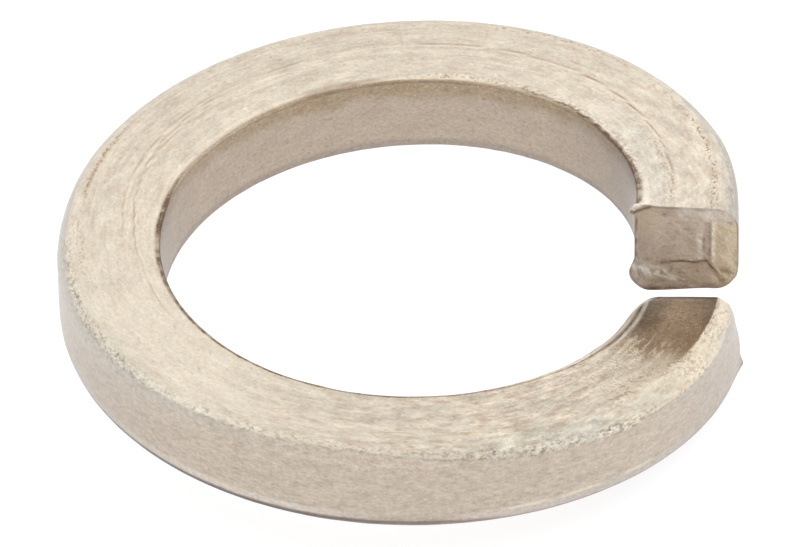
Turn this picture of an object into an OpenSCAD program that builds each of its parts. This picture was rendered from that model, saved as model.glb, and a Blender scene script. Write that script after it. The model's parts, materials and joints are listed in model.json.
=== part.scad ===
// Split spring lock washer: one length of rolled wire, coiled left-handed, sheared and hardened.
// Millimetres, +Z up. The bore axis is the Z axis and z = 0 is the mid-height of the flat body.
// The split lies on +X: the low end comes to it from the front, the high end from the back.

/* [Ring] */
// diameter of the bore, which clears the screw shank
bore_d = 20.6; // [17:0.1:25]
// radial width of the wire, from the bore wall to the rim wall
wire_w = 4.5; // [3.7:0.1:5.5]
// thickness of the wire at the bore
thick_bore = 3.6; // [3:0.1:4.4]
// thickness of the wire at the rim
thick_rim = 4.2; // [3.5:0.1:5.1]

/* [Spring form] */
// clear height between the low end and the high end, where they lap
end_gap = 0.9; // [0.6:0.1:3]
// how late the low end turns down out of the flat body, 1 is an even helix
bend_low = 3.0; // [1:0.1:4]
// how late the high end turns up out of the flat body, 1 is an even helix
bend_high = 2.3; // [1:0.1:4]
// length by which the high end reaches past the low end, at the middle of the wire
lap = 0.6; // [0.1:0.1:1.5]

/* [Edges] */
// rounding of the rim, upper corner
rim_round_top = 0.95; // [0.6:0.05:1.15]
// rounding of the rim, lower corner
rim_round_under = 0.8; // [0.5:0.05:1]
// broken edge of the bore, both corners
bore_edge = 0.2; // [0.1:0.05:0.3]

/* [Sheared ends] */
// turn of the shear plane in plan: it carries the high end's rim forward and the low end's rim back
shear_skew = 4; // [0:1:12]
// lean of the high end's face, its lower edge forward
lean_high = 6; // [0:1:15]
// lean of the low end's face, its lower edge forward
lean_low = 1; // [0:1:15]
// length of wire that the shear has pulled out of shape
shear_reach = 2.6; // [1:0.1:5]
// drop of the high end's underside at the bore
high_swell = 0.7; // [0:0.05:0.9]
// rounding of the high end's lower bore corner at the cut
high_toe = 0.6; // [0.3:0.05:0.9]
// rounding of the high end's lower rim corner at the cut
high_roll = 1.2; // [0.8:0.05:1.4]
// rounding of the low end's upper bore corner at the cut
low_roll = 0.9; // [0.3:0.05:1.1]

/* [Hidden] */

$fn = 120;
bore_r = bore_d / 2;
rim_r = bore_r + wire_w;
mid_r = (bore_r + rim_r) / 2;
rise = max(thick_rim, thick_bore + high_swell) + end_gap;

// half of the lapped angle, so that both ends lie evenly about +X
lap_half = lap / mid_r * 90 / PI;
low_az = lap_half;
sweep = 360 + 2 * lap_half;

// the rounded corners stop short of upright by these angles, where the true walls trim them
rim_meet = 18;
edge_meet = 30;
// flats that make up one rounded corner
rim_flats = 4;
edge_flats = 3;

// the swept wire overshoots both walls by this much, and true cylinders trim it
trim = 0.3;
// the trimming cylinders run past the washer by this much, above and below
over = 2;
trim_h = rise + thick_rim + 2 * over;

// stations along the wire: short steps where the shear has shaped it, long ones between
end_steps = 8;
body_steps = 72;
end_span = shear_reach / mid_r * 180 / PI / sweep;
stations = concat(
    [for (i = [0 : end_steps - 1]) end_span * i / end_steps],
    [for (i = [0 : body_steps]) end_span + (1 - 2 * end_span) * i / body_steps],
    [for (i = [end_steps - 1 : -1 : 0]) 1 - end_span * i / end_steps]);

// height of the wire's middle at station s, from 0 at the low end to 1 at the high end
function lift(s) = s < 0.5
    ? -rise / 2 * pow(1 - 2 * s, bend_low)
    : rise / 2 * pow(2 * s - 1, bend_high);

// 1 at an end of the wire, fading to 0 where the shear stops shaping it
function fade(d) = d >= end_span ? 0 : pow(1 - d / end_span, 2);

// points of a rounded corner, from angle a to angle b
function corner(cx, cy, r, a, b, n) =
    [for (i = [0 : n]) let (t = a + (b - a) * i / n) [cx + r * cos(t), cy + r * sin(t)]];

// wire section at station s, as [radius, height] pairs round the outline
function section(s) =
    let (
        high = fade(1 - s),
        low = fade(s),
        h_rim = thick_rim / 2,
        h_top = thick_bore / 2,
        h_under = thick_bore / 2 + high_swell * high,
        r_under = rim_round_under + (high_roll - rim_round_under) * high,
        e_top = bore_edge + (low_roll - bore_edge) * low,
        e_under = bore_edge + (high_toe - bore_edge) * high
    )
    concat(
        [[rim_r + trim, h_rim - rim_round_top]],
        corner(rim_r - rim_round_top, h_rim - rim_round_top, rim_round_top, rim_meet, 90, rim_flats),
        corner(bore_r + e_top, h_top - e_top, e_top, 90, 180 - edge_meet, edge_flats),
        [[bore_r - trim, h_top - e_top - trim]],
        [[bore_r - trim, -h_under + e_under + trim]],
        corner(bore_r + e_under, -h_under + e_under, e_under, 180 + edge_meet, 270, edge_flats),
        corner(rim_r - r_under, -h_rim + r_under, r_under, 270, 360 - rim_meet, rim_flats),
        [[rim_r + trim, -h_rim + r_under]]);

// how far a point of the section is carried back along the wire, where the shear has cut it
function set_back(s, p) =
    let (skew = tan(shear_skew) * (mid_r - p[0]))
    fade(1 - s) * (skew + tan(lean_high) * p[1]) + fade(s) * (skew - tan(lean_low) * p[1]);

// one ring of points: the section stood up at its station
function ring(s) =
    [for (p = section(s))
        let (a = low_az - sweep * s + set_back(s, p) / mid_r * 180 / PI)
        [p[0] * cos(a), p[0] * sin(a), p[1] + lift(s)]];

// middle of the section at station s
function wire_mid(s) =
    let (az = low_az - sweep * s) [mid_r * cos(az), mid_r * sin(az), lift(s)];

module coiled_wire() {
    rings = [for (s = stations) ring(s)];
    n = len(rings[0]);
    m = len(rings);
    last = (m - 1) * n;
    low_mid = m * n;
    high_mid = low_mid + 1;
    sides = [for (i = [0 : m - 2], j = [0 : n - 1])
        let (k = (j + 1) % n)
        each [
            [i * n + k, i * n + j, (i + 1) * n + j],
            [i * n + k, (i + 1) * n + j, (i + 1) * n + k]]];
    low_face = [for (j = [0 : n - 1]) [low_mid, j, (j + 1) % n]];
    high_face = [for (j = [0 : n - 1]) [high_mid, last + (j + 1) % n, last + j]];
    polyhedron(
        points = concat([for (r = rings) each r], [wire_mid(0), wire_mid(1)]),
        faces = concat(sides, low_face, high_face));
}

// the wire, with its rim wall and bore wall turned true
module lock_washer() {
    color([0.84, 0.8, 0.74])
    difference() {
        intersection() {
            coiled_wire();
            rotate([0, 0, 90])
            cylinder(h = trim_h, r = rim_r, center = true);
        }
        rotate([0, 0, 90])
        cylinder(h = trim_h, r = bore_r, center = true);
    }
}

lock_washer();
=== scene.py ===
import json
import math

import bpy
import numpy as np
from mathutils import Matrix, Vector

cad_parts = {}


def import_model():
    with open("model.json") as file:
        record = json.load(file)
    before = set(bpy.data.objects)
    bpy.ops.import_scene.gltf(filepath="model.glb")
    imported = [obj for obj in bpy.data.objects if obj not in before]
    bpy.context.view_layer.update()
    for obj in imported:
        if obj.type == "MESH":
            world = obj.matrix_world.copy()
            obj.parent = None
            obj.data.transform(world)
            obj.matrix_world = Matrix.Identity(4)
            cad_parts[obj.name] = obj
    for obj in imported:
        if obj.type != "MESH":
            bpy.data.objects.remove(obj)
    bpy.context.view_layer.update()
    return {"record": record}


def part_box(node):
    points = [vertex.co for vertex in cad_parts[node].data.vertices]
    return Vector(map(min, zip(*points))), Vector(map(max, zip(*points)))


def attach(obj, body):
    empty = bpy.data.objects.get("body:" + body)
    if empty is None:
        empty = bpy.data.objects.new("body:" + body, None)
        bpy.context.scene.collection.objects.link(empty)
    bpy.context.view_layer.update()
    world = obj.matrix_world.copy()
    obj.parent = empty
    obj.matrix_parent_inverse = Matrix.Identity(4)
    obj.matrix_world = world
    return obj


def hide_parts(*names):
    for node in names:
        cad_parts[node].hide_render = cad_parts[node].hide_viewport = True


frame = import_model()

# Sizes are in millimetres until mesh_object() scales them to metres.
MM = 0.001

# ---------------- sizes of the washer
# The bore, the rim and the height come from the frame. The rest repeat part.scad, which this script
# can't read; only bore_edge, high_roll and low_roll differ a little, to match the photo more closely.
low_corner, high_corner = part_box("lock_washer")
bore_mount = next(m for m in frame["record"]["mounts"] if m["name"] == "bore")
bore_r = bore_mount["dims"]["r_mm"]
rim_r = high_corner.x / MM
mid_r = (bore_r + rim_r) / 2
thick_bore = 3.6
thick_rim = 4.2
rise = (high_corner.z - low_corner.z) / MM - thick_rim
lap = 0.6
bend_low = 3.0
bend_high = 2.3

rim_round_top = 0.95
rim_round_under = 0.8
bore_edge = 0.11
shear_skew = 4.0
lean_high = 6.0
lean_low = 1.0
shear_reach = 2.6
high_swell = 0.7
high_toe = 0.6
high_roll = 1.35
low_roll = 1.15

lap_half = lap / mid_r / 2
sweep = 2 * math.pi + 2 * lap_half
wire_length = sweep * mid_r

# What else the shear did to the high end: how far it moved each place, and its reach along the wire.
burr_in = 0.27
burr_down = 0.16
burr_reach = 0.9
lip_up = 0.07
lip_reach = 0.7
flare_in = 0.24
flare_reach = 1.6
rim_sink = 0.09
rim_sink_span = (6.0, 2.6)
rim_swell = 0.16
rim_swell_reach = 2.25
under_lift = 0.14
under_reach = 2.2
# The same for the low end: its rim is pinched at the top and drawn out at the foot.
pinch_in = 0.26
pinch_reach = 1.8
foot_out = 0.17
foot_reach = 1.5

# The rim's upper corner: where its facet ends along the wire, and where its crease softens.
facet_gone = (2.5, 5.5)
crease_softens = (38.0, 43.0)
# it is this much sharper at the back, between these two stretches of the wire
sharper_back = 0.15
back_begins = (39, 44)
back_ends = (66, 72)

# ---------------- light
# The tent: an even glow, and soft patches at (azimuth, elevation, where it begins, strength, colour).
white = (1.0, 1.0, 1.0)
cool = (0.8, 0.97, 1.1)
tent_glow = 0.8
tent_patches = [
    (0, 90, 0.5, 0.08, white),
    (99, 50, 0.6, 0.05, white),
    (99, 15, 0.6, 0.33, white),
    (189, 25, 0.5, 0.2, cool),
    (9, 25, 0.5, 0.36, cool),
]
floor_half_side = 3.0
floor_shade = 0.4
floor_rough = 0.9
floor_glow = 0.76

# ---------------- camera
# Angles in degrees, the distance in metres, the lens and the sensor in millimetres.
camera_turn = 8.953
camera_elevation = 38.82
camera_roll = -1.724
camera_distance = 0.592
camera_lens = 615.1
camera_sensor = 36.0
camera_shift = (0.0006, -0.0055)
camera_clip = (0.05, 20.0)

# ---------------- mesh density
end_zone = 3.0
end_step = 0.075
body_step = 0.175
face_rings = 26
face_crowding = 0.85
# points on each corner of the section, and on each straight way between two corners
rim_under_points = 12
rim_top_points = 24
bore_top_points = 15
bore_under_points = 7
rim_wall_points = 20
flat_points = 42
flat_crowding = 1.35
bore_wall_points = 32
underside_points = 6


# ---------------- noise and blending
def smooth(low, high, x):
    """0 at low, 1 at high, and smooth between them; low may be above high."""
    t = np.clip((x - low) / (high - low), 0, 1)
    return t * t * (3 - 2 * t)


def until(low, high, x):
    """1 up to low, and 0 from high on."""
    return 1 - smooth(low, high, x)


def span(x, a, b, c, d):
    """0 up to a, 1 from b to c, and 0 from d on."""
    return smooth(a, b, x) * until(c, d, x)


def bump_at(x, centre, width):
    """A soft bump of height 1 at centre, gone at width from it."""
    return smooth(-width, 0, -np.abs(x - centre))


def noise(x, y, seed):
    """Smooth noise from -1 to 1, one cell a unit."""
    cells = 128
    table = np.random.default_rng(seed).uniform(-1, 1, (cells, cells))
    x, y = np.broadcast_arrays(x, y)
    xi, yi = np.floor(x).astype(int), np.floor(y).astype(int)
    fx, fy = x - xi, y - yi
    fx, fy = fx * fx * (3 - 2 * fx), fy * fy * (3 - 2 * fy)
    x0, x1, y0, y1 = xi % cells, (xi + 1) % cells, yi % cells, (yi + 1) % cells
    near = table[x0, y0] * (1 - fx) + table[x1, y0] * fx
    far = table[x0, y1] * (1 - fx) + table[x1, y1] * fx
    return near * (1 - fy) + far * fy


# ---------------- how things change along the wire
# Each profile is a list of (distance from the low end, value); profile() reads between its stations.
profiles = {
    # how far round the rim's upper corner the crease lies, from the flat
    "crease": [
        (0, 0.8), (2, 0.9), (4, 1.2), (6, 1.3), (8, 1.28), (9, 1.38), (10.6, 1.32), (12, 1.2),
        (13.7, 1.1), (15.3, 0.92), (18, 0.7), (20, 0.55), (24, 0.6), (28, 0.72), (34, 0.8), (39, 0.55),
        (45, 0.6), (60, 0.7), (72, 0.8), (79, 0.9),
    ],
    # how far the flat's outer border is rolled down
    "crown": [(0, 0.015), (2, 0.02), (4.5, 0.06), (7, 0.06), (10, 0)],
    # tone of the flat top, and how it rises from the rim side to the bore side
    "tone": [
        (0, 0.92), (5, 0.9), (6, 1.02), (7, 1.06), (8, 0.97), (9, 0.93), (12, 0.85), (15, 0.88),
        (18, 0.84), (21, 0.86), (23, 0.9), (25, 0.95), (28, 1), (33, 1), (38, 0.97), (50, 1),
        (60, 0.99), (70, 0.97), (79, 0.94),
    ],
    "inward": [
        (0, -0.03), (7, 0), (8, 0.05), (9, 0.05), (14, -0.02), (20, -0.03), (30, -0.01), (40, 0.03),
        (47, 0.06), (55, 0.03), (65, 0), (79, 0.02),
    ],
    # painted light and shade from the flat to the crease, a painted highlight on the crease, and painted
    # shade outside it
    "rounding": [
        (0, 1.16), (2, 1.24), (4, 1.12), (8, 0.92), (11, 0.94), (14, 1), (18, 1.14), (23, 1.08),
        (26, 1.16), (30, 1.06), (34, 1.08), (40, 1), (46, 0.89), (58, 0.84), (66, 0.87), (71, 0.96),
        (79, 0.99),
    ],
    "crease_highlight": [(16, 0), (19, 0.12), (27, 0.14), (31, 0)],
    "outer": [(38, 0), (44, 0.06), (50, 0.14), (66, 0.15), (72, 0.19), (79, 0.24)],
    # painted light and shade from the crease to the rim wall, and the tone of the wall itself
    "steep": [
        (6, 1), (8, 1.08), (12, 1), (16, 1.22), (18, 1.48), (21, 1.38), (25, 1.12), (30, 1), (38, 0.95),
        (43, 1.1), (48, 0.93), (54, 0.84), (64, 0.88),
    ],
    "wall": [
        (0, 0.88), (1, 0.94), (3, 0.98), (5, 1.01), (8, 1.08), (10, 1.05), (14, 1.01), (26, 1.02),
        (31, 0.97), (40, 0.97),
    ],
    # the ledge at the wall's foot, and the painted shade of the dark foot below it, where it reflects the
    # shadowed floor: where it begins and how dark it is
    "ledge": [
        (3, 0), (8, -0.06), (11, 0), (15, 0.1), (18, -0.06), (22, 0.14), (26, 0.16), (30, 0.06),
        (34, 0),
    ],
    "foot_top": [
        (0, -3.9), (4, -3.95), (8, -4.2), (14, -4.26), (17, -3.98), (22, -4.05), (40, -4.02),
    ],
    "foot": [
        (0, 0.8), (5, 0.78), (8, 1), (12, 0.95), (16, 0.9), (18, 1), (22, 1.35), (26, 1.45), (30, 1.7),
        (36, 1), (40, 0.3),
    ],
    # painted shade in the bore, painted light along its upper edge, and painted shade under that edge
    "bore": [
        (34, 0.45), (38, 0.5), (42, 0.66), (46, 0.74), (58, 0.74), (66, 0.73), (71, 0.6), (73, 0.5),
        (75, 0.52), (76.5, 0.58), (79, 0.6),
    ],
    "edge_painted_light": [(50, 0), (56, 0.3), (63, 0.3), (67, 0)],
    "under_edge": [
        (34, 0.4), (36, 0.3), (39, 0.15), (42, 0), (66, 0), (72, 0.1), (75.5, 0.26), (78, 0),
    ],
    # the tan band in the bore: how strong it is, and where it ends below
    "band": [
        (36, 0.9), (44, 0.8), (48, 0.9), (52, 1), (64, 1), (69, 1), (72, 1.15), (75, 1.1), (78, 0.6),
    ],
    "band_foot": [(36, 4.2), (42, 4.25), (52, 4.45), (61, 4.5), (67, 4.25), (73, 4.1)],
    # the painted grey sheen on the wall, the mottled stretches of the flat, and its drawn lines
    "sheen_and_grey": [
        (0, 0.75), (4, 0.5), (11, 0), (25, 0), (33, 0.6), (38, 0.8), (44, 0), (79, 0.3),
    ],
    "mottle": [
        (0, 0.2), (6, 0.6), (8, 0.9), (14, 1), (18, 0.75), (22, 0.55), (24, 0.4), (27, 0.2), (34, 0.2),
        (40, 0.4), (60, 0.35), (66, 0.4), (73, 0.55), (79, 0.65),
    ],
    "lines": [
        (0, 0), (7, 0.2), (9, 0.4), (20, 0.45), (24, 0.2), (34, 0.08), (38, 0.5), (46, 0.8), (60, 0.75),
        (66, 0.55), (79, 0.45),
    ],
    # the grit beside the crease, and along the bore's edge
    "grit": [
        (0, 0.7), (5, 0.75), (7, 0.85), (9, 1.1), (10.5, 1.35), (13, 1.35), (16, 0.95), (18, 0.7),
        (22, 0.75), (28, 0.7), (30, 1.2), (33, 1.3), (36, 0.8), (39, 0.3), (60, 0.3), (79, 0.4),
    ],
    "edge_grit": [(32, 0), (36, 0.3), (40, 0), (56, 0), (60, 0.9), (79, 0.9)],
}


def profile(name, u):
    """The named profile's value at each distance u along the wire."""
    along, values = zip(*profiles[name])
    return np.interp(u, along, values)


# ---------------- the wire
def lift(s):
    """Height of the wire's middle at share s of its length, from the low end to the high end."""
    down = -rise / 2 * np.clip(1 - 2 * s, 0, 1) ** bend_low
    up = rise / 2 * np.clip(2 * s - 1, 0, 1) ** bend_high
    return np.where(s < 0.5, down, up)


def fade(distance, reach=shear_reach):
    """1 at an end of the wire, fading to 0 at reach from it."""
    return np.clip(1 - distance / reach, 0, 1) ** 2


def arc(cx, cy, r, start, stop, n):
    """Corner points, one row a station: cx, cy and r are a number or one value a station."""
    t = np.radians(np.linspace(start, stop, n))[None, :]
    cx, cy, r = (np.atleast_1d(v)[:, None] for v in (cx, cy, r))
    return np.stack(np.broadcast_arrays(cx + r * np.cos(t), cy + r * np.sin(t)), -1)


def crease(u):
    """Distance of the crease from the flat's outer border, with a small wander."""
    return profile("crease", u) + 0.04 * noise(u * 0.9, 0.5, 21)


def corner_radius(u):
    """Radius of the rim's upper corner, a little sharper at the back."""
    return rim_round_top - sharper_back * smooth(*back_begins, u) * until(*back_ends, u)


def upper_corner(u, n):
    """The rim's upper corner, its points from the wall to the flat. Down from the flat it has a
    roll-off, a crease and a steep side; next to the low end the roll-off is a flat facet."""
    turned = np.degrees(crease(u) / rim_round_top)[:, None]
    at = turned / 90
    t = np.linspace(0, 1, n)[None, :]
    facet = until(*facet_gone, u)[:, None]
    rounded = 0.34 + 0.16 * smooth(*crease_softens, u)[:, None]
    before = turned / 2 + turned * (rounded - 0.3 * facet) * (2 * t / at - 1)
    after = 45 + turned / 2 + (90 - turned) * rounded * (2 * (t - at) / (1 - at) - 1)
    turn = smooth(-0.03, 0.03, t - at)
    angle = np.radians(np.clip(before * (1 - turn) + after * turn, 0, 90))
    dr, dh = np.cos(angle), -np.sin(angle)
    step = 1 / (n - 1)
    start = np.zeros((len(u), 1))
    r = np.concatenate([start, np.cumsum((dr[:, 1:] + dr[:, :-1]) / 2 * step, 1)], 1)
    h = np.concatenate([start, np.cumsum((dh[:, 1:] + dh[:, :-1]) / 2 * step, 1)], 1)
    size = corner_radius(u)[:, None]
    r = rim_r - size + r * size / r[:, -1:]
    h = thick_rim / 2 - h * size / h[:, -1:]
    return np.stack([r, h], -1)[:, ::-1]


def between(a, b, n, crowd=1.0):
    """n points on the straight way from the end of a to the start of b; crowd above 1 packs them
    towards b."""
    t = 1 - (1 - np.linspace(0, 1, n + 2)[1:-1][None, :, None]) ** crowd
    return a[:, -1:, :] * (1 - t) + b[:, :1, :] * t


def outlines(u):
    """Section of the wire at each distance u along it: points [radius, height], anticlockwise,
    with v, the distance round the outline from the outer border of the flat top."""
    high = fade(wire_length - u)
    low = fade(u)
    r_under = rim_round_under + (high_roll - rim_round_under) * high
    e_top = bore_edge + (low_roll - bore_edge) * low + 0.03 * noise(u * 0.8, 0.0, 3) * (1 - low)
    e_under = bore_edge + (high_toe - bore_edge) * high
    h_rim, h_top = thick_rim / 2, thick_bore / 2
    h_under = thick_bore / 2 + high_swell * high

    rim_low = arc(rim_r - r_under, r_under - h_rim, r_under, 270, 360, rim_under_points)
    rim_high = upper_corner(u, rim_top_points)
    bore_high = arc(bore_r + e_top, h_top - e_top, e_top, 90, 180, bore_top_points)
    bore_low = arc(bore_r + e_under, e_under - h_under, e_under, 180, 270, bore_under_points)
    middle = (rim_low[:, :1] + bore_low[:, -1:]) / 2

    rows = [middle, between(middle, rim_low, underside_points), rim_low]
    rows += [between(rim_low, rim_high, rim_wall_points), rim_high]
    flat_at = sum(r.shape[1] for r in rows) - 1
    rows += [between(rim_high, bore_high, flat_points, flat_crowding), bore_high]
    rows += [between(bore_high, bore_low, bore_wall_points), bore_low]
    rows += [between(bore_low, middle, underside_points)]
    points = np.concatenate(rows, 1)
    step = np.hypot(*np.moveaxis(np.diff(points, axis=1), -1, 0))
    v = np.concatenate([np.zeros((len(u), 1)), np.cumsum(step, 1)], 1)
    v = v - v[:, flat_at:flat_at + 1]
    return points, v


def set_back(u, radius, height):
    """How far a point of the section is carried back along the wire, where the shear has cut it."""
    skew = math.tan(math.radians(shear_skew)) * (mid_r - radius)
    high = fade(wire_length - u) * (skew + math.tan(math.radians(lean_high)) * height)
    low = fade(u) * (skew - math.tan(math.radians(lean_low)) * height)
    return high + low


def place(u, radius, height, forward=0.0):
    """Points of the section stood up at their station; forward carries them on towards the high end."""
    angle = lap_half - (u + forward - set_back(u, radius, height)) / mid_r
    z = height + lift(np.clip(u / wire_length, 0, 1))
    return np.stack(np.broadcast_arrays(radius * np.cos(angle), radius * np.sin(angle), z), -1)


def shaped(u, points, v):
    """The section with what rolling and shearing did to it: shallow waves, the flared and pinched ends."""
    radius, height = points[..., 0].copy(), points[..., 1].copy()
    x = u[:, None]
    near_high = wire_length - x
    wave = 0.012 * noise(x * 0.35, v * 0.5, 5) + 0.006 * noise(x * 1.4, v * 1.1, 6)
    outward = np.sign(radius - mid_r)
    radius = radius - np.abs(wave) * outward * smooth(1.5, 2.2, np.abs(radius - mid_r))
    on_top = smooth(1.2, 1.8, height)
    height = height + wave * on_top

    border = np.clip(1 - np.maximum(v, 0) / 1.5, 0, 1) ** 2 * smooth(-1.5, 0.0, v)
    height = height - border * profile("crown", x)

    # the high end: a burr on the upper bore edge, a waist, and the lower bore corner flared
    bore_side = until(0.0, 0.9, radius - bore_r)
    burr = fade(near_high, burr_reach) * bump_at(height, 1.6, 0.34) * bore_side
    radius = radius - burr_in * burr
    height = height - burr_down * burr
    lip = fade(near_high, lip_reach) * bump_at(radius - bore_r, 0.45, 0.55) * smooth(1.6, 1.75, height)
    height = height + lip_up * lip
    radius = radius - flare_in * fade(near_high, flare_reach) * bump_at(height, -1.7, 0.9) * bore_side
    rim_side = smooth(-1.0, 0.0, radius - rim_r)
    radius = radius - rim_sink * smooth(*rim_sink_span, near_high) * rim_side
    radius = radius + rim_swell * fade(near_high, rim_swell_reach) * smooth(0.5, 3.5, radius - bore_r)
    under = fade(near_high, under_reach) * smooth(-1.0, -1.6, height)
    height = height + under_lift * under * smooth(0.8, 3.4, radius - bore_r)

    # the low end: pinched at the top of the rim, drawn out to a burr at its foot
    radius = radius - pinch_in * fade(x, pinch_reach) * smooth(-0.6, 1.6, height) * rim_side
    radius = radius + foot_out * fade(x, foot_reach) * smooth(-0.9, -1.6, height) * rim_side
    return radius, height


# ---------------- marks on the surface
# A streak is a row of (distance along the wire, distance round it, half width, strength).
# painted shade along the bore's edge
bore_edge_shade = [
    (0.3, 3.2, 0.03, 0), (1, 3.2, 0.035, 1), (5, 3.22, 0.035, 1), (8, 3.3, 0.03, 1),
    (10, 3.38, 0.03, 0.7), (14, 3.45, 0.05, 0.8), (22, 3.46, 0.07, 1), (30, 3.46, 0.08, 1),
    (32.5, 3.47, 0.1, 1), (35, 3.48, 0.15, 1), (39, 3.49, 0.17, 1), (41.5, 3.5, 0.12, 1),
    (43, 3.51, 0.07, 0.8), (45, 3.52, 0.03, 0), (51.5, 3.52, 0.03, 0), (52.5, 3.52, 0.05, 0.4),
    (55.5, 3.5, 0.06, 0.5), (57, 3.5, 0.04, 0), (62, 3.5, 0.04, 0.1), (65, 3.5, 0.045, 0.7),
    (68, 3.51, 0.06, 1), (72, 3.52, 0.11, 1), (76, 3.52, 0.17, 1), (79.5, 3.5, 0.2, 1),
]
first_scratch = [
    (31, 2.92, 0.03, 0), (33, 2.78, 0.035, 0.3), (36, 2.65, 0.04, 0.3), (40, 2.25, 0.04, 0.45),
    (44, 1.82, 0.04, 0.45), (48, 1.52, 0.035, 0.4), (52, 1.36, 0.03, 0.35), (58, 1.3, 0.03, 0.4),
    (63, 1.32, 0.045, 0.7), (67, 1.5, 0.045, 0.7), (72, 1.7, 0.04, 0.7), (78, 2, 0.04, 0.4),
]
second_scratch = [
    (37, 1.98, 0.03, 0), (39, 1.86, 0.035, 0.35), (42, 1.62, 0.04, 0.4), (46, 1.42, 0.04, 0.4),
    (49, 1.32, 0.035, 0.3), (52, 1.2, 0.03, 0),
]
third_scratch = [
    (41, 2.2, 0.03, 0), (43, 2.05, 0.03, 0.3), (46, 1.85, 0.035, 0.3), (50, 1.6, 0.03, 0),
]
border_scratch = [
    (39.5, 0.02, 0.03, 0), (41, -0.04, 0.05, 0.45), (44, -0.04, 0.05, 0.5), (46.5, 0, 0.04, 0),
]
flat_border_dots = [
    (35.3, 0.1, 0.1, 0), (36, 0.12, 0.2, 0.5), (38.2, 0.1, 0.22, 0.5), (39, 0.02, 0.15, 0.3),
    (40.2, -0.05, 0.1, 0.3), (41, -0.05, 0.1, 0.9), (44.2, -0.04, 0.1, 1), (46, -0.02, 0.1, 0.2),
    (60.5, -0.1, 0.1, 0.2), (62, -0.1, 0.12, 0.8), (66, -0.12, 0.12, 0.9), (67, -0.1, 0.1, 0.3),
    (70.5, 0, 0.09, 0.5), (73, 0.05, 0.12, 1), (76, 0.1, 0.17, 1), (79.4, 0.28, 0.16, 1),
]
inner_dots = [(70, 1.9, 0.2, 0), (73, 2, 0.25, 0.5), (76, 2.1, 0.3, 0.7), (79, 2.1, 0.3, 0.5)]
nick = [
    (52, 3.45, 0.1, 0), (53, 3.5, 0.2, 0.5), (54.5, 3.5, 0.22, 0.6), (56, 3.42, 0.14, 0.4),
    (57.5, 3.4, 0.1, 0),
]
# a painted highlight along the flat's border by the bore
gold_highlight_line = [
    (42, 3.36, 0.04, 0), (44, 3.38, 0.05, 0.8), (49, 3.4, 0.05, 0.9), (52, 3.41, 0.05, 1),
    (54, 3.42, 0.04, 0.5), (62, 3.4, 0.05, 0.9), (64, 3.36, 0.05, 0.9), (70, 3.36, 0.05, 0.7),
    (73, 3.34, 0.03, 0),
]
white_strip = [(0.2, 3.02, 0.06, 0), (1.5, 3.03, 0.06, 0.9), (6, 3.05, 0.05, 0.8), (9, 3.1, 0.04, 0)]
white_edge = [(0, 3.38, 0.07, 0.3), (3, 3.38, 0.06, 0.8), (8, 3.42, 0.05, 0.3), (12, 3.5, 0.03, 0)]
end_smear = [(75.5, 3.15, 0.05, 0), (77, 3.1, 0.12, 0.6), (78.5, 3.12, 0.15, 0.9), (79.4, 3.1, 0.2, 1)]
wall_lines = [
    [
        (6, -3.8, 0.03, 0), (8, -3.78, 0.04, 0.9), (14, -3.77, 0.04, 1), (17, -3.8, 0.03, 0.2),
        (30, -3.8, 0.03, 0),
    ],
    [
        (9, -3.55, 0.02, 0), (12, -3.5, 0.03, 0.5), (17, -3.55, 0.03, 0.5), (24, -3.5, 0.03, 0.4),
        (28, -3.5, 0.02, 0),
    ],
    [(10, -2.9, 0.02, 0), (13, -2.95, 0.03, 0.35), (19, -2.9, 0.03, 0.3), (25, -2.95, 0.02, 0)],
]


def streak(u, v, stations):
    """How much of a streak lies at each point, from 0 to 1."""
    us, vs, widths, strengths = zip(*stations)
    middle, width = np.interp(u, us, vs), np.interp(u, us, widths)
    strength = np.interp(u, us, strengths, left=0, right=0)
    return strength * until(0.5, 1.5, np.abs(v - middle) / width)


def body_zones(u, v, from_crease):
    """Where the parts of the rolled surface lie, each from 0 to 1."""
    on_flat = span(v, -0.3, 0.1, 3.3, 3.6)
    # the smoother patch on top of the low end, in the painted shadow of the high end, with a ragged end that
    # trails outwards
    patch_end = u + 0.45 * noise(u * 0.8, v * 5.0, 77) + 0.2 * noise(u * 2.5, v * 12.0, 80)
    patch_end = patch_end + 0.85 * until(0.2, 1.4, v)
    below_foot_top = v - profile("foot_top", u)
    above_underside = smooth(-6.5, -5.5, v)
    return {
        "flat": on_flat,
        "patch": until(5.55, 6.25, patch_end) * on_flat * until(2.85, 2.95, v),
        "rounding": smooth(-0.1, 0.05, from_crease) * until(-0.15, 0.0, v),
        "facet": smooth(-0.08, 0.05, from_crease) * until(-0.08, 0.0, v) * until(4, 10, u),
        "steep": smooth(-1.4, -1.0, v) * until(-0.1, 0.0, from_crease),
        "outer": until(-0.75, -0.35, v) * above_underside,
        "wall": until(-2.0, -1.2, v) * above_underside,
        "ledge": until(-3.82, -3.72, v) * smooth(-0.12, 0.03, below_foot_top),
        # where the painted shade of the foot lies
        "foot": until(-0.17, 0.0, below_foot_top) * above_underside,
        "grey_foot": span(u, 2, 6, 13, 17) * until(-3.85, -3.7, v) * above_underside,
        "bore": span(v, 3.5, 3.6, 7.6, 8.0),
        "bore_foot": span(v, 6.75, 6.95, 7.6, 8.0),
        # the corner of the flat beyond the patch, which takes painted light, and the whole width beyond it
        "beyond": span(u, 4.3, 5.4, 8.0, 10.5) * span(v, -0.6, -0.1, 0.6, 1.6),
        "past_patch": span(u, 4.5, 5.5, 8.5, 11) * span(v, -0.2, 0.1, 2.2, 3.0),
    }


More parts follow.
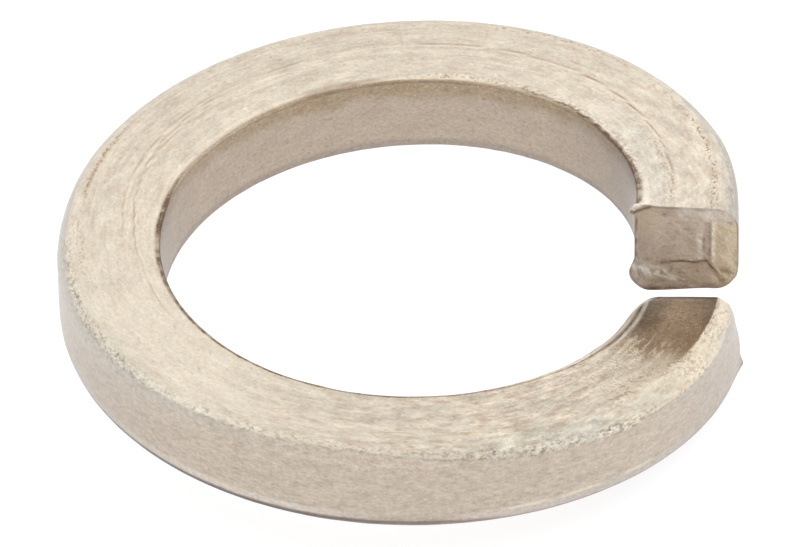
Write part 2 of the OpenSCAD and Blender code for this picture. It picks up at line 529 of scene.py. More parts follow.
def scratches(u, v):
    """The long scratches on the flat, and the light line that lies beside each."""
    stain, beside = 0, 0
    for n, scratch in enumerate((first_scratch, second_scratch, third_scratch, border_scratch)):
        worn = 1.5 + 0.6 * noise(u * 1.3, v * 0.0, 64 + n)
        wander = 0.04 * noise(u * 1.1, 0.0, 67 + n)
        stain = np.maximum(stain, streak(u, v + wander, scratch) * worn)
        beside = np.maximum(beside, streak(u, v + wander - 0.08, scratch) * worn)
    return stain, beside


def dark_marks(u, v):
    """The painted shade along the bore's edge, the nick in it, and the lines that edge both cuts."""
    jagged = (0.012 + 0.05 * smooth(50, 58, u)) * noise(u * 4.5, v * 2.0, 60)
    edge_shade = streak(u, v + jagged, bore_edge_shade) * (0.75 + 0.4 * noise(u * 3.2, v, 61))
    in_nick = 0.75 * streak(u, v, nick) * (0.8 + 0.5 * noise(u * 2.0, v * 5, 63))
    end_line = 0.9 * until(0.08, 0.26, u) * span(v, -0.1, 0.1, 3.0, 3.3)
    low_edge = until(0.03, 0.14, u) * until(-1.0, -0.5, v)
    off_top = np.maximum(smooth(4.2, 4.5, v), until(-1.2, -0.7, v))
    high_edge = until(0.02, 0.12, wire_length - u) * off_top
    edges = (0.5 + 0.3 * noise(v * 2.5, 0.0, 79)) * (low_edge + high_edge)
    return np.maximum.reduce([edge_shade, in_nick, end_line, edges])


def pale_marks(u, v, zones, beside_scratch, burr):
    """Pale marks: a painted highlight and other lines along the bore's edge, lines on the wall, the burr,
    fine places, a lighter facet, and painted light beyond the patch.
    """
    # painted highlight along the flat's border by the bore
    gold_highlight = 0.6 * streak(u, v, gold_highlight_line) * (0.6 + 0.7 * noise(u * 3.5, v * 2, 73))
    worn = 0.75 + 0.35 * noise(u * 1.6, v * 6, 74)
    strips = [streak(u, v, strip) * worn for strip in (white_strip, white_edge, end_smear)]
    dashed = 0.5 * smooth(-0.25, 0.25, noise(u * 0.8, v * 3, 75))
    lines = [streak(u, v, line) * dashed for line in wall_lines]
    fine = smooth(0.12, 0.4, noise(u * 2.4 + v * 3.0, v * 13.0, 76))
    fine = 0.5 * fine * span(u, 3.6, 4.8, 6.0, 7.2) * span(v, 0.2, 0.5, 2.6, 2.9)
    # a lighter facet, and painted light over the corner beyond the patch
    zoned = [0.1 * zones["facet"], 0.32 * zones["beyond"]]
    return np.maximum.reduce([gold_highlight, 0.3 * beside_scratch, *strips, burr, *lines, fine, *zoned])


def body_tone(u, v, from_crease, zones):
    """Lightness of the rolled surface, 1 being the plain steel: each zone by its own profile, most of them
    painted light and shade.
    """
    inward = profile("inward", u) * (v - 1.6) / 1.6
    tone = 1 + (profile("tone", u) - 1 + inward) * zones["flat"]
    near_crease = until(2.5, 4.0, u) * until(-0.8, -0.4, v) * zones["rounding"]
    # painted shadow of the high end over the top of the low end
    end_shadow = until(0.3, 3.0, u) * 0.35 + until(2.5, 5.5, u) * smooth(1.6, 2.4, v) * 0.25
    under_edge = span(v, 3.5, 3.6, 3.9, 4.7)
    for change in (
        # painted light and shade on the rounding, and a painted highlight beside the crease
        (profile("rounding", u) - 1) * zones["rounding"],
        profile("crease_highlight", u) * bump_at(from_crease, 0.16, 0.3),
        -0.12 * near_crease,
        # painted shade outside the crease
        -profile("outer", u) * zones["outer"],
        # painted light and shade on the steep side
        (profile("steep", u) - 1) * zones["steep"],
        # painted shade on the foot
        -0.58 * zones["foot"] * profile("foot", u),
        profile("ledge", u) * zones["ledge"],
        (profile("wall", u) - 1) * zones["wall"],
        -end_shadow * zones["flat"] * until(2.9, 3.0, v),
        -0.14 * zones["bore_foot"],
        # painted shade in the bore, painted light on its upper edge, and painted shade under it
        (profile("bore", u) - 1) * zones["bore"],
        profile("edge_painted_light", u) * bump_at(v, 3.53, 0.1),
        -profile("under_edge", u) * under_edge,
    ):
        tone = tone * (1 + change)
    return tone


def body_marks(u, v, from_crease):
    """What is painted on the rolled surface at each of its points."""
    zones = body_zones(u, v, from_crease)
    to_high = wire_length - u
    burr = until(0.25, 0.5, to_high) * span(v, 3.1, 3.25, 3.7, 3.8)
    # painted shadow under the burr
    burr_shadow = until(0.3, 0.6, to_high) * span(v, 3.75, 3.9, 4.05, 4.2)
    dark = np.maximum(dark_marks(u, v) * (1 - burr), 0.7 * burr_shadow)
    dotted = streak(u, v + 0.06 * noise(u * 1.4, 0.0, 62), flat_border_dots)
    dotted = np.maximum(dotted, streak(u, v, inner_dots))
    stain, beside_scratch = scratches(u, v)
    pale = pale_marks(u, v, zones, beside_scratch, burr)
    tone = body_tone(u, v, from_crease, zones)

    # the tan band under the bore's upper edge
    wavy = 0.15 * noise(u * 0.7, 0.0, 71) + 0.12 * noise(u * 2.3, v * 3.0, 72)
    band_end = until(-0.35, 0.35, v - profile("band_foot", u) + wavy)
    tan = smooth(3.47, 3.55, v) * band_end * profile("band", u) * smooth(34, 37, u)
    tan = np.maximum(tan, 0.5 * streak(u, v, nick))

    mottle = profile("mottle", u) * until(3.3, 3.6, v)
    mottle = mottle * smooth(0.05, 0.3, from_crease) * (1 - 0.5 * zones["facet"])
    lines = profile("lines", u) * span(v, -0.1, 0.2, 3.3, 3.5)

    # grit beside the crease and the bore's edge, on the facet and beyond the patch
    beside = until(0.1, 0.35, np.abs(from_crease - 0.15))
    grit = np.maximum.reduce([
        beside, 0.9 * zones["facet"], 0.9 * zones["beyond"], 0.45 * zones["past_patch"],
    ])
    by_bore = span(v, 3.0, 3.35, 3.42, 3.52) * profile("edge_grit", u)
    clumps = 0.75 + 0.5 * noise(u * 1.3, v * 2.0, 78)
    grit = np.maximum(grit * profile("grit", u), by_bore) * clumps

    # warmer beside the low end, and on the patch, where it paints the brown of the reflected cut face; cooler
    # beside the high end
    facet_inner = np.maximum(smooth(-0.95, -0.5, v), smooth(2, 4, u))
    warm = (0.4 + 0.3 * smooth(2, 4, u)) * until(5, 12, u) * facet_inner
    warm = warm * smooth(-0.08, 0.05, from_crease) * until(0.3, 0.8, v)
    warm = np.maximum(warm, zones["patch"])
    warm = warm - 0.45 * smooth(66, 73, u) * span(v, 1.4, 2.8, 3.5, 3.6)
    warm = warm - 0.25 * smooth(68, 71, u) * zones["rounding"]

    # painted grey sheen on the wall, and greyer places at its foot, on the ledge and at the bore's foot
    sheen_and_grey = until(-0.1, 0.0, from_crease) * smooth(-7.5, -7.0, v)
    sheen_and_grey = sheen_and_grey * profile("sheen_and_grey", u) * (0.4 + 1.1 * smooth(-2.0, -1.2, v))
    sheen_and_grey = np.maximum.reduce([
        sheen_and_grey, 0.75 * zones["grey_foot"], 0.6 * zones["bore_foot"], 0.6 * zones["ledge"] * smooth(18, 22, u),
    ])
    return {
        "dark": dark, "tan": tan, "pale": pale, "tone": tone, "mottle": mottle, "grit": grit,
        "polish": zones["patch"], "dotted": dotted, "sheen_and_grey": sheen_and_grey, "warm": warm, "stain": stain,
        "lines": lines,
    }


def surface_relief(marks, u, v):
    """How far the rolled surface stands out from its smooth shape, in mm."""
    height = -0.02 * marks["dark"] - 0.008 * marks["stain"] + 0.02 * marks["pale"]
    height = height + 0.012 * marks["grit"] * noise(u * 5.5, v * 9.0, 81)
    return height + 0.004 * noise(u * 2.0, v * 5.0, 82)


# ---------------- the cut faces
# On both faces a is the distance from the bore and h the height.
def above_foot_step(a, h):
    """Height over the step near the foot of the high end's face, which slopes down by the bore."""
    wander = 0.05 * noise(a * 1.5, 0.0, 31)
    foot = 0.62 + 0.22 * np.clip(3.0 - a, 0, 1.6)
    return h + foot + wander


def above_diagonal(a, h):
    """Distance over the slanting step from the pocket's corner to the rim's lower corner."""
    return (h + 0.62) + 1.35 * (a - 3.2)


def high_face_relief(a, h):
    """How far the high end's cut face stands proud: a raised middle, a pocket beside it, and steps."""
    to_right = until(2.98, 3.33, a)
    to_foot = smooth(-0.02, 0.1, above_foot_step(a, h))
    plateau = to_right * np.maximum(to_foot, until(0.7, 1.5, a))
    lip = bump_at(a, 3.43, 0.1) * span(h, -0.9, -0.5, 1.2, 1.6)
    corner = smooth(-0.1, 0.1, above_diagonal(a, h)) * smooth(3.0, 3.3, a)
    top_strip = smooth(1.45, 1.6, h) * smooth(1.5, 1.9, a)
    rough = 0.02 * noise(a * 2.5, h * 2.5, 32) + 0.012 * noise(a * 6.0, h * 6.0, 33)
    return 0.13 * plateau + 0.05 * lip + 0.08 * corner + 0.02 * top_strip + rough - 0.05


def high_face_marks(a, h):
    """Stains, lines and smears on the high end's cut face, with painted shade and highlights at its steps and
    its burr.
    """
    foot_step = above_foot_step(a, h)
    # painted shade in the corners of the steps
    foot_step_shade = bump_at(foot_step, 0.0, 0.09) * span(a, 1.4, 2.2, 3.15, 3.3)
    diagonal_step_shade = bump_at(above_diagonal(a, h), 0.0, 0.16) * span(a, 3.1, 3.25, 3.7, 3.85)
    dots = bump_at(a, 3.03, 0.07) * span(h, -0.2, 0.1, 0.7, 0.9)
    dots = np.maximum(dots, bump_at(a, 3.36, 0.06) * span(h, -0.5, -0.3, 0.1, 0.4))
    dots = dots * smooth(-0.3, 0.2, noise(h * 4.0, a, 34))
    stains = smooth(0.55, 0.8, noise(a * 5.0, h * 5.0, 35)) * (0.1 + 0.4 * smooth(-0.5, -0.9, h))
    red = bump_at(h, 1.55, 0.2) * bump_at(a, 1.2, 0.5)
    red = np.maximum(red, bump_at(h, 1.5, 0.25) * bump_at(a, 4.15, 0.4))
    red = red * smooth(-0.3, 0.2, noise(a * 6.0, h * 6.0, 36))
    to_top = thick_bore / 2 + 0.067 * a - h
    top_line = until(0.03, 0.09, to_top) * smooth(-0.3, 0.2, noise(a * 5.0, 0.5, 39))
    top_line = top_line * until(3.3, 3.6, a)
    under_top = bump_at(to_top, 0.16, 0.16) * until(1.6, 2.4, a)
    # painted shade in the pocket beside the raised middle
    pocket = span(a, 2.98, 3.08, 3.32, 3.4) * span(h, -0.6, -0.4, 1.3, 1.5)
    by_bore = until(0.1, 0.9, a) * smooth(-1.5, -1.0, h)
    over_burr = h - 1.44 - 0.5 * np.maximum(a, 0) ** 0.7
    # painted shadow under the burr
    burr_shadow_line = bump_at(over_burr, 0.0, 0.13) * until(0.6, 1.3, a)
    dark = np.maximum.reduce([
        foot_step_shade, 0.9 * diagonal_step_shade, 0.8 * dots, stains, 0.6 * red, 0.5 * top_line,
        0.3 * pocket, 0.16 * by_bore, 0.22 * under_top, burr_shadow_line,
    ])

    smear = bump_at(a, 2.86, 0.2) * span(h, -0.5, -0.2, 0.7, 1.0)
    smear = smear * (0.5 + 0.5 * noise(h * 3.0, a * 3.0, 37))
    # painted highlights on the edges of the lip and of the foot step
    lip = bump_at(a, 3.45, 0.07) * span(h, -1.0, -0.5, 1.3, 1.6)
    over_foot_highlight = bump_at(foot_step, 0.15, 0.1) * span(a, 1.8, 2.3, 2.9, 3.1)
    slant = h + 1.5 + 0.35 * (a - 1.0)
    streaks = bump_at(slant, 0.0, 0.55) * until(2.4, 3.0, a)
    streaks = streaks * smooth(0.0, 0.3, noise(a * 1.8 + slant, slant * 8.0, 38))
    top_strip = smooth(1.3, 1.5, h) * smooth(1.5, 2.2, a) * 0.3
    burr = 0.8 * smooth(0.08, 0.14, over_burr) * until(0.4, 1.0, a)
    pale = np.maximum.reduce([smear, 0.85 * lip, 0.7 * over_foot_highlight, streaks, top_strip, burr])

    right = smooth(3.42, 3.55, a) * until(1.3, 1.6, h)
    left = 0.7 * until(0.2, 2.0, a) * smooth(-0.2, 1.0, h)
    return {"dark": dark, "tan": np.maximum(0.9 * right, left), "pale": pale}


def above_tear(a, h):
    """Height on the low end's face, with the wander of the line where its torn part begins."""
    return h + 0.25 * noise(a * 1.2, 0.0, 41)


def low_face_relief(a, h):
    """How far the low end's cut face stands proud: a smooth sheared upper part over a torn lower part."""
    torn = until(-0.5, -0.2, above_tear(a, h))
    rough = 0.012 * noise(a * 3.0, h * 3.0, 42)
    return rough - 0.09 * torn + torn * 0.04 * noise(a * 5.0, h * 5.0, 43)


def low_face_marks(a, h):
    """The tear's border, its pits, and fine streaks on the sheared part."""
    torn = until(-0.5, -0.2, above_tear(a, h))
    border = bump_at(above_tear(a, h), -0.35, 0.12)
    pits = smooth(0.3, 0.7, noise(a * 4.0, h * 4.0, 44)) * torn
    pale = 0.5 * smooth(0.3, 0.7, noise(a * 1.0, h * 5.0, 45)) * (1 - torn)
    return {"dark": np.maximum(0.6 * border, 0.5 * pits), "tan": 0.3 * torn, "pale": pale}


# ---------------- the mesh
def build_washer():
    """The washer's points and faces, the zone of each face, and its marks at points and corners."""
    ends = np.arange(0, end_zone, end_step)
    body_steps = int((wire_length - 2 * end_zone) / body_step)
    middle = np.linspace(end_zone, wire_length - end_zone, body_steps)
    u = np.concatenate([ends, middle, (wire_length - ends)[::-1]])
    points, v = outlines(u)
    radius, height = shaped(u, points, v)
    n, m = radius.shape
    u_all = np.repeat(u[:, None], m, 1)
    from_crease = v + crease(u)[:, None]
    marks = body_marks(u_all, v, from_crease)
    inside = smooth(0.0, 0.5, np.minimum(u_all, wire_length - u_all))
    out = surface_relief(marks, u_all, v) * inside
    tangent = np.stack([np.gradient(radius, axis=1), np.gradient(height, axis=1)], -1)
    tangent = tangent / np.linalg.norm(tangent, axis=-1, keepdims=True)
    radius, height = radius + out * tangent[..., 1], height - out * tangent[..., 0]
    body = place(u_all, radius, height)

    i, j = np.meshgrid(np.arange(n - 1), np.arange(m), indexing="ij")
    k = (j + 1) % m
    faces = [np.stack([i * m + k, i * m + j, (i + 1) * m + j, (i + 1) * m + k], -1).reshape(-1, 4)]
    last_step = np.hypot(radius[:, 0] - radius[:, -1], height[:, 0] - height[:, -1])
    v_round = np.concatenate([v, v[:, -1:] + last_step[:, None]], 1)
    along = np.stack([u[i], u[i], u[i + 1], u[i + 1]], -1).ravel()
    corners = [v_round[i, j + 1], v_round[i, j], v_round[i + 1, j], v_round[i + 1, j + 1]]
    around = np.stack(corners, -1).ravel()
    zones = [np.zeros(len(faces[0]), int)]
    coords = [body.reshape(-1, 3)]
    marks.update(from_crease=from_crease, section_at=radius - bore_r, section_up=height)
    painted = {key: [np.broadcast_to(values, (n, m)).ravel()] for key, values in marks.items()}

    def cap(row, station, relief, face_marks, out, zone):
        """Closes an end: rings drawn in from the last outline to its middle, raised by the relief."""
        edge_r, edge_h = radius[row], height[row]
        centre_r, centre_h = edge_r.mean(), edge_h.mean()
        t = (1 - np.arange(1, face_rings) / face_rings)[:, None] ** face_crowding
        r = np.append((centre_r + (edge_r - centre_r) * t).ravel(), centre_r)
        h = np.append((centre_h + (edge_h - centre_h) * t).ravel(), centre_h)
        depth = np.append(np.repeat(1 - t.ravel(), m), 1.0)
        a = r - bore_r
        raised = relief(a, h) * smooth(0.0, 0.1, depth)
        start = sum(len(c) for c in coords)
        coords.append(place(np.full(len(r), station), r, h, out * raised))
        made = face_marks(a, h)
        outline = until(0.03, 0.12, depth) * (0.65 + 0.4 * noise(a * 4.0, h * 4.0, 46))
        outline = outline * (1 - 0.7 * smooth(3.7, 4.1, a)) * (1 - made["pale"])
        made["dark"] = np.maximum(made["dark"], outline)
        made.update(section_at=a, section_up=h)
        for key, values in painted.items():
            values.append(made.get(key, np.zeros(len(a))))
        first = row * m + np.arange(m)
        rings = [first] + [start + q * m + np.arange(m) for q in range(face_rings - 1)]
        tip = start + (face_rings - 1) * m
        for outer, inner in zip(rings, rings[1:]):
            quad = np.stack([outer, np.roll(outer, -1), np.roll(inner, -1), inner], -1)
            faces.append(quad if out < 0 else quad[:, ::-1])
            zones.append(np.full(m, zone))
        fan = np.stack([rings[-1], np.roll(rings[-1], -1), np.full(m, tip), np.full(m, -1)], -1)
        faces.append(fan if out < 0 else fan[:, [1, 0, 2, 3]])
        zones.append(np.full(m, zone))

    cap(0, 0.0, low_face_relief, low_face_marks, -1, 1)
    cap(n - 1, wire_length, high_face_relief, high_face_marks, 1, 2)
    at_points = {key: np.concatenate(values) for key, values in painted.items()}
    all_faces = np.concatenate(faces)
    on_caps = np.zeros((all_faces >= 0).sum() - len(along))
    at_corners = {"along": np.append(along, on_caps), "around": np.append(around, on_caps)}
    return np.concatenate(coords), all_faces, np.concatenate(zones), at_points, at_corners


def mesh_object(name, coords, faces, zones, at_points, at_corners):
    """Makes the mesh in metres, with its own wire coordinates and its marks as attributes.
    The edges between two zones are sharp, and every face off zone 0 takes the second material."""
    mesh = bpy.data.meshes.new(name)
    polygons = [[int(v) for v in f if v >= 0] for f in faces]
    mesh.from_pydata([tuple(c) for c in coords * MM], [], polygons)
    mesh.polygons.foreach_set("use_smooth", np.ones(len(polygons), bool))
    mesh.polygons.foreach_set("material_index", (zones > 0).astype(np.int32))
    for domain, layers in (("POINT", at_points), ("CORNER", at_corners)):
        for key, values in layers.items():
            layer = mesh.attributes.new(key, "FLOAT", domain)
            layer.data.foreach_set("value", values.astype(np.float32))
    zones_at = {}
    for polygon in mesh.polygons:
        for key in polygon.edge_keys:
            zones_at.setdefault(key, set()).add(int(zones[polygon.index]))
    borders = [len(zones_at[tuple(sorted(edge.vertices))]) > 1 for edge in mesh.edges]
    sharp = mesh.attributes.new("sharp_edge", "BOOLEAN", "EDGE")
    sharp.data.foreach_set("value", borders)
    mesh.update()
    piece = bpy.data.objects.new(name, mesh)
    bpy.context.scene.collection.objects.link(piece)
    return piece


# ---------------- materials
class Graph:
    """Short calls for the nodes of a material or a world. A value is a number, a colour or another
    node's output."""

    def __init__(self, owner):
        owner.use_nodes = True
        self.tree = owner.node_tree

    def node(self, kind, **settings):
        made = self.tree.nodes.new(kind)
        for key, value in settings.items():
            setattr(made, key, value)
        return made

    def put(self, socket, value):
        """Links a node's output to the socket, or sets the socket to a number or a colour."""
        if isinstance(value, bpy.types.NodeSocket):
            self.tree.links.new(value, socket)
        elif isinstance(value, (tuple, list)):
            socket.default_value = (*value, 1.0) if len(socket.default_value) == 4 else value
        else:
            socket.default_value = value

    def shader(self, name, value):
        """Gives the material's shader one of its inputs."""
        self.put(self.tree.nodes["Principled BSDF"].inputs[name], value)

    def attributes(self, *names):
        return [self.node("ShaderNodeAttribute", attribute_name=name).outputs["Fac"] for name in names]

    def math(self, operation, a, b, clamp=False):
        made = self.node("ShaderNodeMath", operation=operation, use_clamp=clamp)
        self.put(made.inputs[0], a)
        self.put(made.inputs[1], b)
        return made.outputs[0]

    def times(self, a, b, clamp=False):
        return self.math("MULTIPLY", a, b, clamp)

    def step(self, x, low, high):
        """0 at low, 1 at high, smooth between them; low may be above high."""
        made = self.node("ShaderNodeMapRange", interpolation_type="SMOOTHSTEP")
        self.put(made.inputs["Value"], x)
        self.put(made.inputs["From Min"], min(low, high))
        self.put(made.inputs["From Max"], max(low, high))
        self.put(made.inputs["To Min"], 0.0 if low < high else 1.0)
        self.put(made.inputs["To Max"], 1.0 if low < high else 0.0)
        return made.outputs["Result"]

    def band(self, x, start, stop, soft):
        """1 between start and stop, with soft borders."""
        return self.times(self.step(x, start - soft, start + soft), self.step(x, stop + soft, stop - soft))

    def noise(self, x, y, sx, sy, detail=3.0, shift=0.0, roughness=0.55):
        """Noise from about 0 to 1 with sx and sy cells a millimetre; shift sets each one apart."""
        vector = self.node("ShaderNodeCombineXYZ")
        self.put(vector.inputs[0], self.times(x, sx))
        self.put(vector.inputs[1], self.times(y, sy))
        vector.inputs[2].default_value = shift
        made = self.node("ShaderNodeTexNoise", noise_dimensions="3D")
        self.put(made.inputs["Vector"], vector.outputs[0])
        made.inputs["Scale"].default_value = 1.0
        made.inputs["Detail"].default_value = detail
        made.inputs["Roughness"].default_value = roughness
        return made.outputs["Fac"]

    def weighted(self, base, *terms):
        """base plus each term's value times its weight."""
        total = base
        for value, weight in terms:
            total = self.math("ADD", self.times(value, weight), total)
        return total

    def grey(self, value):
        made = self.node("ShaderNodeCombineColor")
        for channel in range(3):
            self.put(made.inputs[channel], value)
        return made.outputs[0]

    def mix(self, factor, a, b, blend="MIX"):
        made = self.node("ShaderNodeMix", data_type="RGBA", blend_type=blend)
        self.put(made.inputs["Factor"], factor)
        self.put(made.inputs["A"], a)
        self.put(made.inputs["B"], b)
        return made.outputs["Result"]

    def tinted(self, factor, colour, tint):
        """The colour, multiplied by the tint where factor is 1."""
        return self.mix(factor, colour, self.mix(1.0, colour, tint, "MULTIPLY"))

    def bump(self, height, distance):
        """A normal that shows the height as relief of that many millimetres."""
        made = self.node("ShaderNodeBump")
        made.inputs["Strength"].default_value = 1.0
        made.inputs["Distance"].default_value = distance * MM
        self.put(made.inputs["Height"], height)
        return made.outputs["Normal"]


cream = (0.59, 0.53, 0.437)
rosy = (0.555, 0.49, 0.402)
pinkish = (0.45, 0.352, 0.268)
taupe = (0.51, 0.435, 0.362)
taupe_dark = (0.452, 0.376, 0.306)
# the grey of the painted sheen
sheen_grey = (0.503, 0.462, 0.412)
olive = (0.46, 0.337, 0.21)
bright = (0.86, 0.755, 0.60)
grit_brown = (0.2, 0.13, 0.08)
dot_brown = (0.27, 0.17, 0.1)
deep_brown = (0.16, 0.095, 0.058)
# tints, which multiply a colour
warmer = (1.04, 0.985, 0.92)
cooler = (0.97, 1.01, 1.05)
sunny = (1.10, 1.0, 0.88)
ashy = (0.92, 1.0, 1.06)
in_bore_tint = (1.085, 1.0, 0.985)
# the tint of the painted shade on the wall's foot
foot_shade_tint = (1.05, 0.985, 1.03)
# the cut faces
cut_grey = (0.58, 0.49, 0.42)
cut_brown = (0.53, 0.435, 0.355)
cut_tan = (0.64, 0.535, 0.40)
cut_pale = (0.82, 0.775, 0.70)
cut_dark = (0.18, 0.11, 0.08)
relief_rolled = 0.02
relief_cut = 0.035


def rolled_steel():
    """Dull plated steel: fine grain, drawn streaks along the wire, mottling, and the painted marks."""
    material = bpy.data.materials.new("rolled_plated_steel")
    g = Graph(material)
    u, v, from_crease = g.attributes("along", "around", "from_crease")
    dark, tan, pale, tone, mottle = g.attributes("dark", "tan", "pale", "tone", "mottle")
    grit, polish, lines, sheen_and_grey = g.attributes("grit", "polish", "lines", "sheen_and_grey")
    warm, dotted, stain = g.attributes("warm", "dotted", "stain")
    inside = g.step(v, 3.45, 3.7)
    wall = g.step(from_crease, 0.03, -0.05)
    underside = g.step(from_crease, -7.5, -7.7)

    # the flat: two clouded tones, with brown blotches and light ones along the wire
    cloud = g.noise(u, v, 0.7, 1.4, 3.0, 9.0, 0.6)
    blotch = g.step(g.noise(u, v, 1.0, 2.4, 4.0, 1.0, 0.64), 0.42, 0.64)
    light = g.step(g.noise(u, v, 0.9, 2.6, 4.0, 8.0, 0.64), 0.46, 0.68)
    colour = g.mix(g.step(cloud, 0.35, 0.68), rosy, cream)
    colour = g.mix(g.times(blotch, mottle), colour, pinkish)
    colour = g.mix(g.times(light, g.times(mottle, 0.55)), colour, bright)

    # long drawn lines, dark and light, broken up
    line = g.noise(u, v, 0.14, 5.5, 3.0, 14.0, 0.6)
    broken = g.times(lines, g.step(g.noise(u, v, 1.1, 4.0, 3.0, 16.0, 0.65), 0.32, 0.58))
    colour = g.mix(g.times(g.step(line, 0.53, 0.66), g.times(broken, 0.45)), colour, pinkish)
    colour = g.mix(g.times(g.step(line, 0.47, 0.36), g.times(broken, 0.3)), colour, bright)

    # the wall's worn taupe, the painted grey sheen, the tint of the foot's painted shade, and the bore with
    # its tan band
    worn = g.step(g.noise(u, v, 1.5, 2.4, 4.0, 17.0, 0.68), 0.4, 0.64)
    colour = g.mix(g.math("SUBTRACT", wall, underside, True), colour, g.mix(worn, taupe, taupe_dark))
    colour = g.mix(sheen_and_grey, colour, sheen_grey)
    fine_brown = g.noise(u, v, 2.2, 4.5, 3.0, 18.0, 0.65)
    brown_specks = g.times(g.step(fine_brown, 0.6, 0.7), g.math("ADD", wall, inside, True))
    colour = g.mix(g.times(brown_specks, 0.3), colour, pinkish)
    colour = g.tinted(inside, colour, in_bore_tint)
    colour = g.tinted(g.band(v, -6.0, -4.12, 0.13), colour, foot_shade_tint)
    tan_cover = g.weighted(0.35, (blotch, 0.3), (fine_brown, 0.5))
    colour = g.mix(g.times(tan, tan_cover, True), colour, olive)
    glints = g.times(g.step(g.noise(u, v, 6.0, 7.0, 2.0, 19.0, 0.6), 0.6, 0.68), tan)
    colour = g.mix(g.times(glints, 0.45), colour, bright)

    # shade: three sizes of grain, broad patches, the patch's own grain, the tone with its painted light and
    # shade, and specks
    drawn = g.noise(u, v, 1.6, 4.0, 5.0, 2.0, 0.68)
    fine = g.noise(u, v, 4.4, 6.6, 3.0, 3.0, 0.6)
    grain = g.noise(u, v, 9.0, 11.0, 2.0, 4.0, 0.7)
    broad = g.noise(u, v, 0.5, 1.5, 3.0, 15.0, 0.6)
    speck = g.step(g.noise(u, v, 3.2, 5.0, 2.0, 5.0), 0.62, 0.72)
    strength = g.weighted(0.75, (mottle, 0.2), (inside, 0.3), (wall, 0.35))
    shade = g.times(g.weighted(-0.63, (drawn, 0.22), (fine, 0.62), (grain, 0.42)), strength)
    shade = g.math("ADD", shade, 1.0)
    broad_shade = g.times(g.weighted(-0.4, (broad, 0.8)), g.weighted(0.2, (mottle, 0.9)))
    shade = g.math("ADD", shade, broad_shade)
    polish_shade = g.times(polish, g.weighted(-0.6, (fine, 0.7), (drawn, 0.5)))
    shade = g.math("ADD", shade, polish_shade)
    shade = g.times(shade, tone)
    shade = g.math("SUBTRACT", shade, g.times(speck, 0.12))
    colour = g.mix(1.0, colour, g.grey(shade), "MULTIPLY")

    # hue: small warm and cool grains, and the warmer and cooler zones
    tint = g.noise(u, v, 2.5, 5.0, 4.0, 7.0, 0.7)
    tinted = g.weighted(0.42, (mottle, 0.6), (wall, 0.4), (inside, 0.3))
    colour = g.tinted(g.times(g.step(tint, 0.5, 0.68), tinted), colour, warmer)
    colour = g.tinted(g.times(g.step(tint, 0.5, 0.32), tinted), colour, cooler)
    colour = g.tinted(g.times(warm, 1.0, True), colour, sunny)
    colour = g.tinted(g.times(warm, -1.0, True), colour, ashy)

    # dots, scratches, grit, pale marks with painted highlights and painted light, and dark lines with painted
    # shade
    dots = g.times(g.step(g.noise(u, v, 6.5, 7.5, 1.0, 10.0), 0.54, 0.61), dotted)
    colour = g.mix(g.times(dots, 0.85), colour, dot_brown)
    colour = g.mix(g.times(stain, g.times(grain, 1.4), True), colour, dot_brown)
    small_grit = g.noise(u, v, 7.5, 9.5, 2.0, 6.0)
    large_grit = g.noise(u, v, 3.6, 4.6, 1.0, 12.0)
    grains = g.weighted(-0.1, (small_grit, 0.6), (large_grit, 0.6))
    grit_dark = g.times(g.step(grains, 0.53, 0.35), grit)
    grit_pale = g.times(g.step(grains, 0.48, 0.64), grit)
    colour = g.mix(g.math("MAXIMUM", g.times(grit_pale, 0.45), pale), colour, bright)
    colour = g.mix(g.times(grit_dark, 0.6), colour, grit_brown)
    dark = g.times(dark, g.weighted(-0.5, (grain, 1.8), (fine, 1.4)), True)
    colour = g.mix(dark, colour, deep_brown)

    rough = g.weighted(0.22, (grain, 0.14), (drawn, 0.06), (dark, 0.15), (polish, -0.12))
    height = g.weighted(0.0, (drawn, 0.6), (grain, 0.7), (fine, 0.5), (speck, -0.4), (grit_dark, -0.8))
    g.shader("Base Color", colour)
    g.shader("Metallic", g.weighted(1.0, (pale, -0.8)))
    g.shader("Roughness", rough)
    g.shader("Normal", g.bump(height, relief_rolled))
    return material


def sheared_steel():
    """The cut ends: rough, duller metal with torn and smeared places."""
    material = bpy.data.materials.new("sheared_steel")
    g = Graph(material)
    a, h = g.attributes("section_at", "section_up")
    dark, tan, pale = g.attributes("dark", "tan", "pale")
    grain = g.noise(a, h, 7.0, 7.0, 4.0, 1.0, 0.6)
    cloud = g.noise(a, h, 1.3, 1.3, 3.0, 2.0)
    colour = g.mix(g.step(cloud, 0.35, 0.65), cut_grey, cut_brown)
    colour = g.mix(tan, colour, cut_tan)
    # pale carries smears and streaks, and painted highlights on the step edges; dark carries stains, pits and
    # lines, and painted shade at the steps and under the burr
    colour = g.mix(pale, colour, cut_pale)
    colour = g.mix(dark, colour, cut_dark)
    colour = g.mix(1.0, colour, g.grey(g.weighted(0.75, (grain, 0.5))), "MULTIPLY")
    g.shader("Base Color", colour)
    g.shader("Metallic", 1.0)
    g.shader("Roughness", g.weighted(0.35, (grain, 0.2)))
    g.shader("Normal", g.bump(grain, relief_cut))
    return material


coords, faces, zones, at_points, at_corners = build_washer()
washer = mesh_object("spring_lock_washer", coords, faces, zones, at_points, at_corners)
washer.data.materials.append(rolled_steel())
washer.data.materials.append(sheared_steel())
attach(washer, "root")
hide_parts("lock_washer")


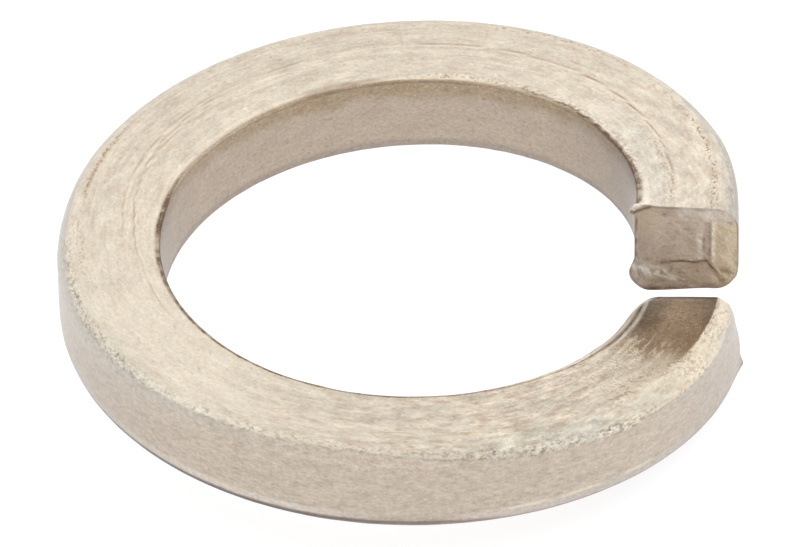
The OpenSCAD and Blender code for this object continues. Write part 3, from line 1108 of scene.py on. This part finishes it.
# ---------------- stage, light and camera
def floor():
    """A plain floor under the washer. It glows, so that it shows white as in the photo."""
    side = floor_half_side
    z = low_corner.z
    mesh = bpy.data.meshes.new("floor")
    corners = [(-side, -side, z), (side, -side, z), (side, side, z), (-side, side, z)]
    mesh.from_pydata(corners, [], [(0, 1, 2, 3)])
    made = bpy.data.objects.new("floor", mesh)
    bpy.context.scene.collection.objects.link(made)
    material = bpy.data.materials.new("pale_floor")
    g = Graph(material)
    g.shader("Base Color", (floor_shade, floor_shade, floor_shade))
    g.shader("Roughness", floor_rough)
    g.shader("Emission Color", white)
    g.shader("Emission Strength", floor_glow)
    mesh.materials.append(material)


def world():
    """A light tent round the washer: an even glow, and a few soft patches that are brighter."""
    made = bpy.data.worlds.new("studio")
    bpy.context.scene.world = made
    g = Graph(made)
    ray = g.node("ShaderNodeTexCoord").outputs["Generated"]
    glow = g.node("ShaderNodeCombineXYZ")
    for channel in range(3):
        g.put(glow.inputs[channel], tent_glow)
    total = glow.outputs[0]
    for azimuth, elevation, begins, strength, colour in tent_patches:
        a, e = math.radians(azimuth), math.radians(elevation)
        towards = (math.cos(a) * math.cos(e), math.sin(a) * math.cos(e), math.sin(e))
        dot = g.node("ShaderNodeVectorMath", operation="DOT_PRODUCT")
        g.put(dot.inputs[0], ray)
        g.put(dot.inputs[1], towards)
        patch = g.step(dot.outputs["Value"], begins, 1.0)
        tinted = g.node("ShaderNodeVectorMath", operation="MULTIPLY_ADD")
        g.put(tinted.inputs[0], g.times(patch, 2 * strength))
        g.put(tinted.inputs[1], colour)
        g.put(tinted.inputs[2], total)
        total = tinted.outputs[0]
    g.put(g.tree.nodes["Background"].inputs["Color"], total)


def camera():
    """A long lens at the photo's viewing angle."""
    turn = math.radians(camera_turn)
    elevation = math.radians(camera_elevation)
    roll = math.radians(camera_roll)
    cam = bpy.data.cameras.new("camera")
    cam.sensor_width = camera_sensor
    cam.lens = camera_lens
    cam.shift_x, cam.shift_y = camera_shift
    cam.clip_start, cam.clip_end = camera_clip
    made = bpy.data.objects.new("camera", cam)
    flat = math.cos(elevation)
    ahead = Vector((-flat * math.sin(turn), flat * math.cos(turn), -math.sin(elevation)))
    right = Vector((math.cos(turn), math.sin(turn), 0))
    up = right.cross(ahead)
    x = math.cos(roll) * right + math.sin(roll) * up
    y = -math.sin(roll) * right + math.cos(roll) * up
    facing = Matrix((x, y, -ahead)).transposed().to_4x4()
    made.matrix_world = Matrix.Translation(-ahead * camera_distance) @ facing
    bpy.context.scene.collection.objects.link(made)
    bpy.context.scene.camera = made


floor()
world()
camera()
bpy.context.scene.view_settings.view_transform = "Standard"
